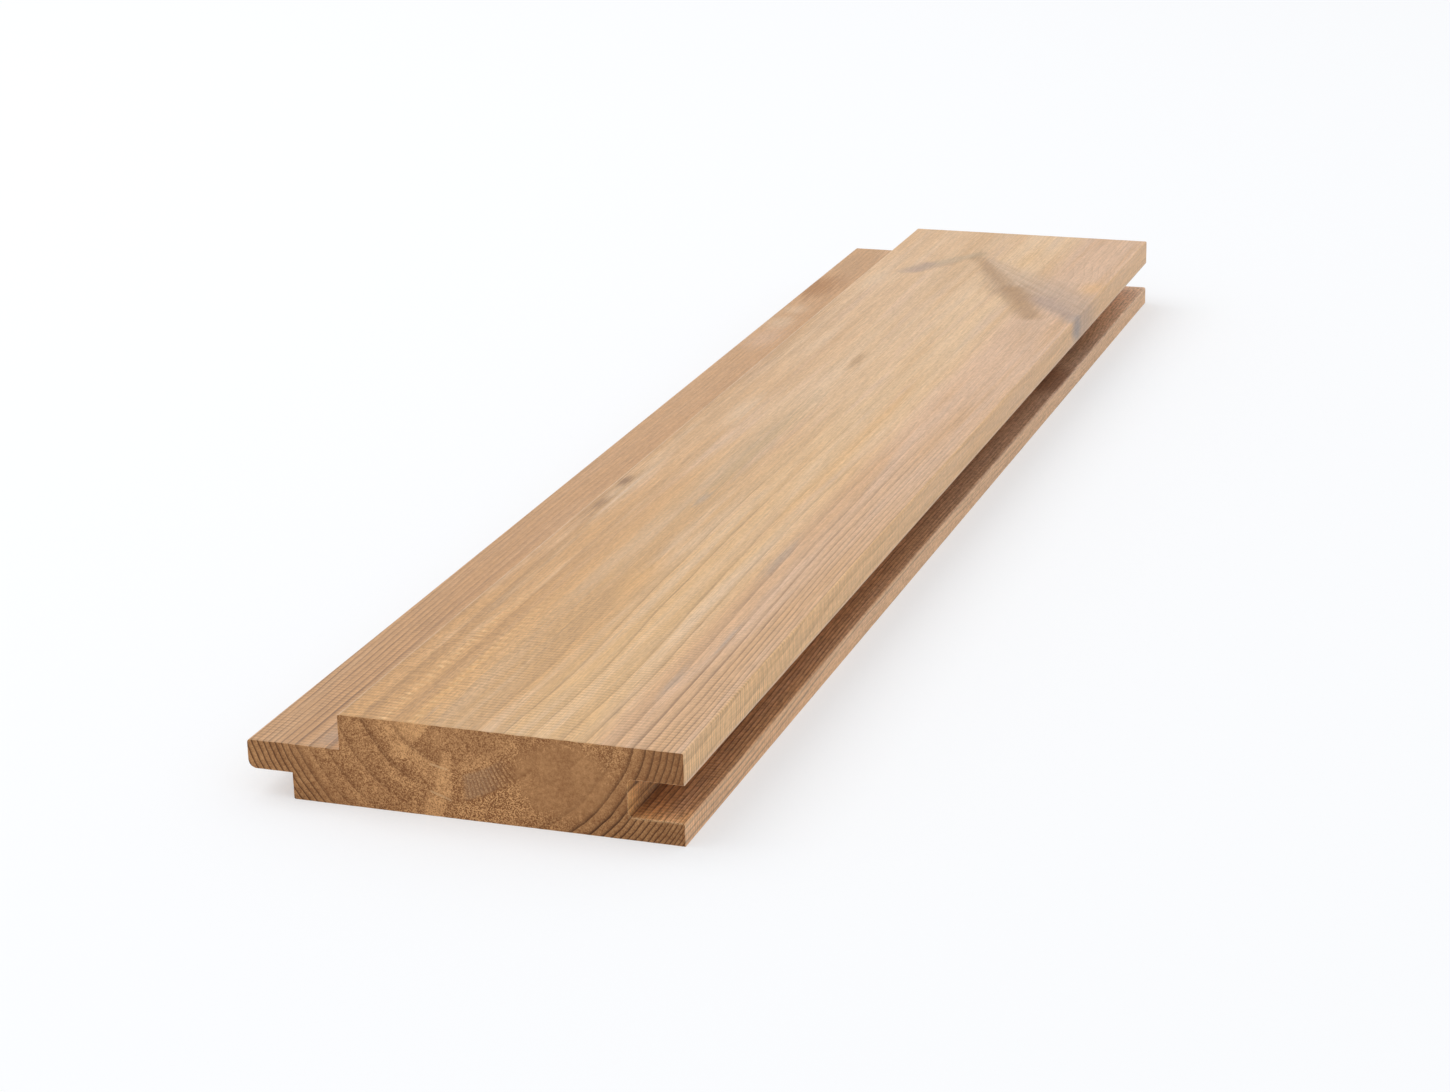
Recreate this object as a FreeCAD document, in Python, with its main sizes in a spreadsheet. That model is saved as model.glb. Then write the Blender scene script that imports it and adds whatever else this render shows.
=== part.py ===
import FreeCAD, Part
import os
import Sketcher

# Tongue and groove cladding board: one length of planed softwood with a shadow gap on its face.
# It lies on its back with the face up. X runs across the board, from the tip of the tongue to the
# lips of the groove, Y runs along the grain and Z is up. The origin is under the middle of the board.

# Driving sizes, in millimetres
SIZES = {
    "board_length": 430.0,
    "overall_width": 96.0,
    "thickness": 20.0,
    # how far the tongue stands out of the back shoulder, and its section above the back face
    "tongue_reach": 10.0,
    "tongue_thickness": 6.4,
    "tongue_height": 5.9,
    # bare strip of tongue that stays in view between the faces of two joined boards
    "shadow_gap": 11.0,
    # room for the wood to swell: above and below the tongue, and in front of its tip
    "tongue_clearance": 0.8,
    "tip_clearance": 1.6,
    # the lower lip stands back from the upper one
    "lip_setback": 0.4,
    # roundings left by the cutters
    "tip_upper_radius": 0.8,
    "tip_lower_radius": 1.8,
    "lip_lead_radius": 1.0,
    "groove_corner_radius": 1.0,
    "face_arris_radius": 0.4,
    "back_arris_radius": 0.4,
}

# largest share of a wall that one rounding may take
ROUNDING_SHARE = 0.45

# Corners of the section in order round it, on a coarse grid that only gives their order across and
# up the board. The dimensions of the sketch put them in their true places.
CORNERS = {
    "back_left": (1, 0),
    "lip_bottom": (4, 0),
    "lip_top": (4, 1),
    "groove_low": (3, 1),
    "groove_high": (3, 4),
    "upper_lip_under": (5, 4),
    "face_right": (5, 5),
    "face_left": (2, 5),
    "gap_inner": (2, 3),
    "tip_top": (0, 3),
    "tip_bottom": (0, 2),
    "back_inner": (1, 2),
}
CORNER_NAMES = list(CORNERS)

# Dimensions of the section: direction, the two corners, and the size between them
DIMENSIONS = {
    "half_width": ("X", "tip_top", "origin", "sizes.overall_width / 2"),
    "width": ("X", "tip_top", "face_right", "sizes.overall_width"),
    "reach": ("X", "tip_bottom", "back_inner", "sizes.tongue_reach"),
    "gap": ("X", "back_inner", "gap_inner", "sizes.shadow_gap"),
    "setback": ("X", "lip_top", "upper_lip_under", "sizes.lip_setback"),
    "groove_depth": ("X", "groove_low", "lip_top", "sizes.tongue_reach + sizes.tip_clearance"),
    "height": ("Y", "back_left", "face_left", "sizes.thickness"),
    "tongue_level": ("Y", "back_left", "back_inner", "sizes.tongue_height"),
    "tongue_section": ("Y", "tip_bottom", "tip_top", "sizes.tongue_thickness"),
    "room_below": ("Y", "groove_low", "tip_bottom", "sizes.tongue_clearance"),
    "room_above": ("Y", "tip_top", "groove_high", "sizes.tongue_clearance"),
}

# Walls that limit the roundings on them
TONGUE_WALL = "sizes.tongue_thickness"
GROOVE_WALL = "sizes.tongue_thickness + 2 * sizes.tongue_clearance"
LOWER_LIP_WALL = "sizes.tongue_height - sizes.tongue_clearance"
UPPER_LIP_WALL = "sizes.thickness - sizes.tongue_height - sizes.tongue_thickness - sizes.tongue_clearance"

# Roundings along the board: the corners they are on, their radius and the wall that limits it
ROUNDINGS = {
    "tip_upper_round": (["tip_top"], "tip_upper_radius", TONGUE_WALL),
    "tip_lower_round": (["tip_bottom"], "tip_lower_radius", TONGUE_WALL),
    "lip_lead_round": (["lip_top"], "lip_lead_radius", LOWER_LIP_WALL),
    "groove_rounds": (["groove_low", "groove_high"], "groove_corner_radius", GROOVE_WALL),
    "face_arrises": (["face_left", "face_right"], "face_arris_radius", UPPER_LIP_WALL),
    "back_arrises": (["back_left", "lip_bottom"], "back_arris_radius", LOWER_LIP_WALL),
}

# A sketch names a point by its line and end; the origin is the start of the sketch's own first axis
START = 1
END = 2
HORIZONTAL_AXIS = -1
PLACE_TOLERANCE = 1e-4


def make_sheet(doc):
    """Spreadsheet with one named cell for each driving size."""
    sheet = doc.addObject("Spreadsheet::Sheet", "sizes")
    for row, (alias, value) in enumerate(SIZES.items(), start=1):
        sheet.set(f"A{row}", alias)
        sheet.set(f"B{row}", str(value))
        sheet.setAlias(f"B{row}", alias)
    doc.recompute()
    return sheet


def sketch_point(corner):
    """Line and end that hold a corner: each line starts at its own corner."""
    if corner == "origin":
        return HORIZONTAL_AXIS, START
    return CORNER_NAMES.index(corner), START


def draw_section(body):
    """Closed outline of the board's cross-section, fully dimensioned from the sheet."""
    sketch = body.newObject("Sketcher::SketchObject", "section")
    plane = next(item for item in body.Origin.OriginFeatures if item.Role == "XZ_Plane")
    sketch.AttachmentSupport = (plane, "")
    sketch.MapMode = "FlatFace"

    points = [FreeCAD.Vector(across, up, 0) for across, up in CORNERS.values()]
    count = len(points)
    for line in range(count):
        sketch.addGeometry(Part.LineSegment(points[line], points[(line + 1) % count]))
    for line in range(count):
        sketch.addConstraint(Sketcher.Constraint("Coincident", line, END, (line + 1) % count, START))
        level = points[line].y == points[(line + 1) % count].y
        sketch.addConstraint(Sketcher.Constraint("Horizontal" if level else "Vertical", line))

    back_line, back_end = sketch_point("back_left")
    sketch.addConstraint(Sketcher.Constraint("PointOnObject", back_line, back_end, HORIZONTAL_AXIS))
    for name, (direction, first, second, expression) in DIMENSIONS.items():
        ends = sketch_point(first) + sketch_point(second)
        index = sketch.addConstraint(Sketcher.Constraint("Distance" + direction, *ends, 1.0))
        sketch.renameConstraint(index, name)
        sketch.setExpression("Constraints." + name, expression)
    return sketch


def run_along_grain(body, sketch):
    """The section carried along the board, half of the length each way."""
    stock = body.newObject("PartDesign::Pad", "stock")
    stock.Profile = sketch
    stock.SideType = "Symmetric"
    stock.setExpression("Length", "sizes.board_length")
    sketch.Document.recompute()
    return stock


def long_edge(feature, sketch, corner):
    """Name of the edge that runs along the board at a corner of the section."""
    place = sketch.getPoint(*sketch_point(corner))
    for number, edge in enumerate(feature.Shape.Edges, start=1):
        ends = [vertex.Point for vertex in edge.Vertexes]
        offsets = [max(abs(end.x - place.x), abs(end.z - place.y)) for end in ends]
        if max(offsets) < PLACE_TOLERANCE:
            return f"Edge{number}"
    raise RuntimeError(f"no edge runs along the board at {corner}")


def round_edges(body, sketch, stock):
    """Each rounding on its own edges, limited by the wall that it is on."""
    base = stock
    for name, (corners, radius, wall) in ROUNDINGS.items():
        edges = [long_edge(base, sketch, corner) for corner in corners]
        rounding = body.newObject("PartDesign::Fillet", name)
        rounding.Base = (base, edges)
        rounding.setExpression("Radius", f"min(sizes.{radius}; {ROUNDING_SHARE} * ({wall}))")
        sketch.Document.recompute()
        base = rounding
    body.Tip = base


def check_document(doc, body):
    """Stops before anything is written if a feature failed or the solid is unsound."""
    for item in doc.Objects:
        if "Invalid" in item.State or "Error" in item.State:
            raise RuntimeError(f"{item.Label} failed: {item.State}")
    if body.Shape.isNull() or not body.Shape.isValid():
        raise RuntimeError(f"{body.Label} is not a valid solid")
    if len(body.Shape.Solids) != 1:
        raise RuntimeError(f"{body.Label} is not one solid")


doc = FreeCAD.newDocument("tongue_and_groove_board")
make_sheet(doc)
board = doc.addObject("PartDesign::Body", "board")
board.Label = "board"
section = draw_section(board)
stock = run_along_grain(board, section)
round_edges(board, section, stock)
doc.recompute()
check_document(doc, board)

os.makedirs("parts", exist_ok=True)
board.Shape.exportStep(f"parts/{board.Label}.step")
box = board.Shape.BoundBox
print(f"{board.Label}: {box.XLength:.2f} x {box.YLength:.2f} x {box.ZLength:.2f} mm, "
      f"from {box.XMin:.2f} {box.YMin:.2f} {box.ZMin:.2f}, {board.Shape.Volume / 1000:.1f} cm3")
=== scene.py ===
import math
from collections import namedtuple
from types import SimpleNamespace

import bpy
import numpy as np
from mathutils import Matrix, Vector


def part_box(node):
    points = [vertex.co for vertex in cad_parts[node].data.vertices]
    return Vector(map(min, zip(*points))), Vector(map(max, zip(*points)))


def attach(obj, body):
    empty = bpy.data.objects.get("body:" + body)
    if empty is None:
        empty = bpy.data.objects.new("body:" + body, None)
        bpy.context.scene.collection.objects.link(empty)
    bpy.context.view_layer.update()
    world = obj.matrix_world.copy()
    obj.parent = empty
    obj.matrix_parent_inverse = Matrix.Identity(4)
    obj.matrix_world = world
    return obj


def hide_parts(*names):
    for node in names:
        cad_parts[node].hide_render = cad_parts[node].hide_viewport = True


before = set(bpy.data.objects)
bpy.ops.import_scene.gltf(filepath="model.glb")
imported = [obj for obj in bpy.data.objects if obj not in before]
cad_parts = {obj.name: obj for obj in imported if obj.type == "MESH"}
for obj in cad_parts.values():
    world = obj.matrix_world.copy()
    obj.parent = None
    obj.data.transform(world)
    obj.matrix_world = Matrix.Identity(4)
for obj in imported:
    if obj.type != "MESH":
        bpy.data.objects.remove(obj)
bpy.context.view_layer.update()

# Heat-treated pine board with a tongue and a shadow gap on its left edge and a groove on its right.
# Lengths are in metres, except in the wood materials, whose nodes work in millimetres.

MM = 0.001
NODE = "board"
LOW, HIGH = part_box(NODE)
SEED = 7
WHITE = (1, 1, 1, 1)

# Camera, as fitted to the reference view: place, the point it looks at, roll and focal length
CAMERA_PLACE = Vector((0.2513, -0.7571, 0.2641))
CAMERA_AIM = Vector((-0.0041, -0.0417, 0.0))
CAMERA_ROLL = math.radians(-1.49)
CAMERA_LENS = 79.5
SENSOR_WIDTH = 36.0
NEAREST_SEEN = 0.01

# Stage
FLOOR_SIZE = 12.0
FLOOR_COLOUR = (0.945, 0.965, 1.0, 1.0)
# share of plain white in what the camera sees of the floor
FLOOR_LIFT = 0.44
SKY_STRENGTH = 0.80
SOFTBOX_SIZE = 1.6
SOFTBOX_PLACE = Vector((-1.05, 0.0, 1.7))
SOFTBOX_POWER = 12.0

# Mesh of the board: how its outline is read, and the longest step on the outline and along the grain
END_TOLERANCE = 0.01 * MM
OUTLINE_DIGITS = 3
OUTLINE_STEP = 0.8 * MM
ROW_STEP = 6.0 * MM
# rows close to each end, as distances from it, and how much of the sawn edge is broken off
END_ROWS = [0.4 * MM, 0.8 * MM, 1.5 * MM, 3.0 * MM]
LEAST_BREAK = 0.04 * MM
MOST_BREAK = 0.18 * MM
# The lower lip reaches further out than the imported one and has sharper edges: the part of the outline
# that is the lip, how far it moves out, and the size and the kept share of its two roundings
LIP_LEVEL = 5.3 * MM
LIP_ROOT = 44.0 * MM
LIP_REACH = 0.3 * MM
BOTTOM_ROUNDING = 0.4 * MM
BOTTOM_KEPT = 0.25
TOP_ROUNDING = 1.0 * MM
TOP_KEPT = 0.6
ROUNDING_MARGIN = 0.01 * MM
# flat layout of the surface: side of its square, gap between its parts and scale of the ends
LAYOUT_SIZE = 440 * MM
LAYOUT_GAP = 5 * MM
END_SCALE = 2.9

# Growth rings, in millimetres: the pith runs along the board above its face and sways from side to side
PITH_X = -1.0
PITH_Z = 27.7
PITH_SHIFT = 0.4
SWAY_START = 210.0
SWAY_LENGTH = 300.0
SWAY_REACH = 0.95
# outer radius of each year's ring on the tongue's side and on the groove's side
TONGUE_SIDE_RINGS = [9.5, 16.0, 22.7, 28.2, 33.4, 36.8, 39.5, 41.0, 42.4, 43.7, 45.0,
                     46.3, 47.6, 48.9, 50.2, 51.5, 52.8, 54.0, 55.2, 56.4, 57.6, 58.8]
GROOVE_SIDE_RINGS = [9.5, 14.2, 19.0, 25.4, 29.7, 35.1, 38.7, 41.3, 43.3, 44.7, 46.0,
                     47.2, 48.4, 49.5, 50.6, 51.6, 52.5, 53.4, 54.3, 55.1, 55.9, 56.7]
RING_REACH = 64.0
# the rings are a little flattened on the groove's side
OVAL = 1.09
OVAL_REACH = 15.0
# share of a year at which its latewood is darkest, and how the latewood and its line sharpen towards it
DARKEST = 0.965
LATEWOOD_POWER = 1.5
LINE_POWER = 2.6
RING_FRAYING = 0.06

# Branches that grew from the pith: both ends of the axis, half-thickness at the pith, at the widest and
# at the end, how far they push the rings out, in millimetres, and how strongly they show
BRANCHES = {
    "groove_side": SimpleNamespace(start=(-1, 190, 24), end=(50, 129, 17), thin=1.5, thick=14.0,
                                   blunt=10.0, push=3.5, strength=0.85),
    "tongue_side": SimpleNamespace(start=(2, 189, 21), end=(-15, 163, 19), thin=2.0, thick=4.0,
                                   blunt=4.0, push=2.0, strength=0.5),
}
# share of the axis at which a branch is widest, and where the rings start to bend and are fully pushed
# out, in half-thicknesses
BRANCH_WIDEST = 0.65
BEND_START = 2.6
BEND_FULL = 0.6

# Noise in the wood: size of its patches across and along the grain, in millimetres, a shift that sets it
# apart from the others, and how fine it is
Grain = namedtuple("Grain", "across along shift detail roughness", defaults=(2.0, 0.5))
SHIFT_SHARES = (1.0, 0.37, 0.71)
NOISE_MIDDLE = 0.5
DRIFT = Grain(30.0, 140.0, 3.1)
RIPPLE = Grain(7.0, 40.0, 7.7)
RING_EDGES = Grain(0.5, 9.0, 1.3, detail=3.0)
PATCHES = Grain(5.0, 90.0, 5.3, detail=3.0)
BLUSHES = Grain(4.0, 70.0, 12.6)
STRIPES = Grain(2.6, 170.0, 14.2)
LINE_BREAKS = Grain(1.6, 40.0, 9.1)
FIBRE = Grain(0.35, 14.0, 4.4, detail=4.0, roughness=0.65)
HAIRS = Grain(0.16, 5.0, 8.2)
MOTTLE = Grain(0.7, 1.3, 11.4, roughness=0.6)
DASH_WOBBLE = Grain(3.0, 20.0, 3.7)
DASH_GAPS = Grain(1.2, 4.0, 5.9)
MARK_WOBBLE = Grain(9.0, 22.0, 6.1)
MARK_PATCHES = Grain(6.0, 12.0, 2.9)
BAR_JITTER = Grain(8.0, 3.0, 17.3)
# how far the grain wanders sideways with the first two
WANDERING = [(DRIFT, 2.0), (RIPPLE, 0.8)]
# the sawn ends' noises have no direction: how many patches there are to a millimetre
SPECKLE_SCALE = 4.1
MIDDLING_SCALE = 1.0
COARSE_SCALE = 0.2

# Marks at regular steps along the board, in millimetres: planer marks, faint bars and dashes of lifted
# grain in two rows, each with its X and strength; and the angle between the split rays
MARK_STEP = 1.35
BAR_STEP = 2.9
DASH_STEP = 2.7
DASH_ROWS = [(-16.9, 0.55), (-10.4, 0.45)]
RAY_STEP = 0.045

# Relief and gloss of the planed surfaces and of the sawn ends
PLANED_RELIEF = 0.08 * MM
PLANED_ROUGHNESS = (0.54, 0.68)
PLANED_SPECULAR = 0.3
SAWN_RELIEF = 0.12 * MM
SAWN_ROUGHNESS = 0.8
SAWN_SPECULAR = 0.15

# Colours of the wood, linear
TAN = (0.61, 0.367, 0.174, 1)
GOLD = (0.675, 0.428, 0.212, 1)
ROSE = (0.635, 0.394, 0.224, 1)
AMBER = (0.585, 0.334, 0.15, 1)
RUSSET = (0.55, 0.318, 0.163, 1)
UMBER = (0.25, 0.145, 0.085, 1)
PALE = (0.725, 0.53, 0.36, 1)
BLUSH = (0.685, 0.478, 0.345, 1)
# the lips' side colours are paler than the face's: partly their own edge grain, partly painted light on the
# side faces
EDGE_GOLD = (0.71, 0.445, 0.225, 1)
EDGE_TAN = (0.695, 0.39, 0.192, 1)
SLATE = (0.31, 0.295, 0.285, 1)
OLIVE = (0.47, 0.355, 0.225, 1)
ORANGE = (0.78, 0.45, 0.18, 1)
STRAW = (0.79, 0.53, 0.27, 1)
DUSK = (0.42, 0.255, 0.135, 1)
CHESTNUT = (0.42, 0.215, 0.095, 1)
KNOT = (0.56, 0.40, 0.28, 1)
MAUVE = (0.40, 0.285, 0.235, 1)
SAWN_DARK = (0.22, 0.09, 0.033, 1)
SAWN_LIGHT = (0.71, 0.39, 0.17, 1)
SAWN_LINE = (0.10, 0.043, 0.019, 1)
SAWN_GREY = (0.42, 0.265, 0.155, 1)
FUZZ = (0.72, 0.46, 0.24, 1)

# Parts of the surface: limits along an axis, each with the place where it fades in and where it is full
SURFACES = {
    "tongue": [("X", -26.6, -27.2), ("Z", 14.0, 12.8)],
    "lower_lip": [("X", 47.1, 47.7), ("Z", 4.9, 4.4)],
    "upper_lip": [("X", 47.3, 47.8), ("Z", 12.0, 13.0)],
    "groove": [("X", 47.95, 47.7), ("X", 35.0, 35.6), ("Z", 13.4, 13.0), ("Z", 4.4, 4.9)],
    "shoulder_arris": [("X", -26.3, -26.8), ("Z", 19.2, 19.6)],
    "lip_arris": [("X", 47.2, 47.9), ("Z", 13.8, 13.3), ("Z", 12.0, 12.8)],
    "groove_front_painted_light": [("Y", -206.0, -214.0)],
    "groove_far": [("Y", -130.0, 40.0)],
    "groove_wall": [("X", 36.8, 36.2)],
    "groove_floor_back_painted_shade": [("Z", 6.2, 5.4), ("X", 39.5, 36.6)],
    "groove_end": [("Y", 140.0, 200.0)],
    "groove_knot_painted_shade": [("Y", 88.0, 101.0), ("Y", 124.0, 111.0)],
    "sawn_ledge": [("Z", 4.5, 4.95), ("Z", 5.3, 5.2), ("X", 36.0, 37.5)],
    "sawn_wall": [("X", 35.6, 35.95), ("Z", 4.0, 6.0), ("Z", 12.6, 9.6)],
}
# Tints of the groove, which multiply the colour there: painted shade over the whole groove, whose rough cut
# wood is also browner, painted light near its front end, painted shade along the back of its floor and before
# the knot, and lighter and darker stretches along it
GROOVE_TINT = (0.92, 0.78, 0.65)
GROOVE_TINTS = {
    "groove_front_painted_light": (1.20, 1.20, 1.1),
    "groove_far": (0.88, 0.93, 1.03),
    "groove_wall": (0.96, 0.97, 0.86),
    "groove_floor_back_painted_shade": (0.595, 0.55, 0.496),
    "groove_end": (1.42, 1.55, 1.60),
    "groove_knot_painted_shade": (0.70, 0.60, 0.53),
}
NEAR_LIP_TINT = (1.06, 1.0, 0.92)

# Streaks and stains: centre, half-sizes across, along and through the board, colour and strength
FACE_LEVEL = 20.0
TONGUE_LEVEL = 12.3
STREAKS = [
    # long bands on the left half of the face
    ((-10.3, -195, FACE_LEVEL), (1.1, 55, 5), ORANGE, 0.28),
    ((-14.2, -190, FACE_LEVEL), (1.7, 60, 5), DUSK, 0.20),
    ((-17.0, -185, FACE_LEVEL), (1.0, 50, 5), ORANGE, 0.12),
    ((-20.8, -185, FACE_LEVEL), (2.0, 75, 5), DUSK, 0.28),
    ((-22.2, -120, FACE_LEVEL), (1.2, 40, 5), DUSK, 0.32),
    ((-26.0, -150, FACE_LEVEL), (0.9, 90, 5), DUSK, 0.30),
    ((1.0, -135, FACE_LEVEL), (2.2, 45, 5), DUSK, 0.22),
    ((3.0, -122, FACE_LEVEL), (3.4, 16, 5), ORANGE, 0.30),
    ((-6.0, -110, FACE_LEVEL), (2.8, 45, 5), PALE, 0.30),
    ((-4.5, -190, FACE_LEVEL), (2.4, 50, 5), PALE, 0.22),
    # light and dark bands between the lines, and along the left edge
    ((12.0, -115, FACE_LEVEL), (1.8, 75, 5), PALE, 0.45),
    ((24.6, -130, FACE_LEVEL), (1.5, 85, 5), PALE, 0.40),
    ((18.2, -150, FACE_LEVEL), (1.3, 70, 5), PALE, 0.25),
    ((22.0, -20, FACE_LEVEL), (2.0, 90, 5), ORANGE, 0.22),
    ((-16.0, 8, FACE_LEVEL), (3.2, 20, 5), PALE, 0.60),
    ((-21.0, 92, FACE_LEVEL), (4.0, 40, 5), DUSK, 0.20),
    ((-26.0, 66, FACE_LEVEL), (4.0, 60, 5), DUSK, 0.36),
    ((-26.5, -5, FACE_LEVEL), (3.6, 45, 5), DUSK, 0.24),
    # blue stain, grey spots and the small flame on the left
    ((-8.0, -211.3, FACE_LEVEL), (0.6, 2.4, 4), UMBER, 0.40),
    ((-8.3, -207.5, FACE_LEVEL), (0.7, 4.5, 4), SLATE, 0.18),
    ((-21.0, -209, FACE_LEVEL), (1.3, 5, 4), UMBER, 0.20),
    ((30.6, -100, FACE_LEVEL), (1.7, 18, 4), SLATE, 0.32),
    ((33.0, -180, FACE_LEVEL), (1.2, 12, 4), SLATE, 0.30),
    ((35.8, -152, FACE_LEVEL), (0.7, 9, 4), SLATE, 0.35),
    ((-1.5, -64, FACE_LEVEL), (1.6, 7, 4), SLATE, 0.40),
    ((-2.0, -22, FACE_LEVEL), (4.0, 50, 4), OLIVE, 0.45),
    ((-1.0, 62, FACE_LEVEL), (1.9, 9, 4), DUSK, 0.60),
    ((-25.0, -100, FACE_LEVEL), (2.4, 45, 4), RUSSET, 0.50),
    ((-24.2, -68, FACE_LEVEL), (3.2, 26, 4), DUSK, 0.50),
    ((-24.0, -65, FACE_LEVEL), (1.5, 8, 4), PALE, 0.40),
    ((-24.4, -74, FACE_LEVEL), (1.5, 6.0, 4), UMBER, 0.45),
    ((-24.8, -56, FACE_LEVEL), (1.9, 4.8, 4), UMBER, 0.65),
    ((-21.8, -65, FACE_LEVEL), (0.7, 22, 4), PALE, 0.65),
    # round the branches
    ((19.0, 184, FACE_LEVEL), (5.0, 16, 6), GOLD, 0.40),
    ((44.0, 154, FACE_LEVEL), (4.0, 9, 6), ORANGE, 0.40),
    ((47.5, 119, 17.5), (3.4, 6.0, 6), SLATE, 0.70),
    ((38.0, 103, FACE_LEVEL), (11.0, 20, 6), DUSK, 0.20),
    ((1.5, 185, FACE_LEVEL), (2.0, 6, 6), DUSK, 0.55),
    ((-21.0, 150, FACE_LEVEL), (3.5, 12, 6), PALE, 0.50),
    # tongue
    ((-31.0, -209, TONGUE_LEVEL), (2.6, 6, 3), SLATE, 0.35),
    ((-32.5, -180, TONGUE_LEVEL), (3.0, 40, 3), ROSE, 0.30),
    ((-43.0, 121, TONGUE_LEVEL), (5.0, 9, 4), PALE, 0.55),
    ((-42.0, 104, TONGUE_LEVEL), (6.0, 14, 4), BLUSH, 0.45),
    ((-45.0, 164, TONGUE_LEVEL), (8.0, 18, 5), CHESTNUT, 0.95),
    ((-43.0, 137, TONGUE_LEVEL), (4.0, 6, 4), PALE, 0.40),
    ((-40.0, 196, TONGUE_LEVEL), (9.0, 22, 4), DUSK, 0.25),
]

# Strokes that do not follow the grain: both ends, half-width, colour and strength
STROKES = [
    ((3.0, 181, FACE_LEVEL), (22, 147, FACE_LEVEL), 3.4, DUSK, 0.52),
    ((22, 147, FACE_LEVEL), (34, 119, FACE_LEVEL), 5.2, DUSK, 0.80),
    ((33, 138, FACE_LEVEL), (48, 117, 19), 4.6, MAUVE, 0.42),
    ((1.2, 186, FACE_LEVEL), (-13, 166, FACE_LEVEL), 3.2, OLIVE, 0.42),
    ((-11.0, 171, FACE_LEVEL), (-13.0, 163, FACE_LEVEL), 3.4, MAUVE, 0.52),
]
# where a streak or stroke fades in and where it is full, in half-sizes
STREAK_START = 1.3
STREAK_FULL = 0.15

# Light sectors of rings on the sawn ends: inner and outer radius, the two angles from straight below the
# pith towards the tongue, in degrees, and strength; and half the softness of their edges
SECTORS = [
    (13.2, 22.9, 5.0, 14.5, 0.35),
    (23.1, 29.5, 8.2, 17.4, 0.38),
    (9.0, 15.9, 38.0, 60.0, 0.36),
    (16.8, 21.5, 38.0, 46.0, 0.24),
    (16.8, 21.3, 55.0, 64.0, 0.12),
]
SECTOR_RIM = 0.2
SECTOR_NEAR_SIDE = 0.012
SECTOR_FAR_SIDE = 0.02
# Thin pale lines across them: both ends, and half the width
PALE_LINES = [
    ((-6.4, 0, 11.7), (-3.2, 0, 11.0), 0.22),
    ((-6.8, 0, 5.7), (-2.8, 0, 4.3), 0.24),
]
# Dark rings close to the pith on the tongue's side: radius, half-width and the level above which they show
INNER_RINGS = [
    (22.3, 0.7, 11.0),
    (16.2, 0.5, 12.0),
]
# Smooth oval among the flecks: centre and half-sizes
SMOOTH_CENTRE = (22, 0, 11)
SMOOTH_WIDTH = 11
SMOOTH_HEIGHT = 8


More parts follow.
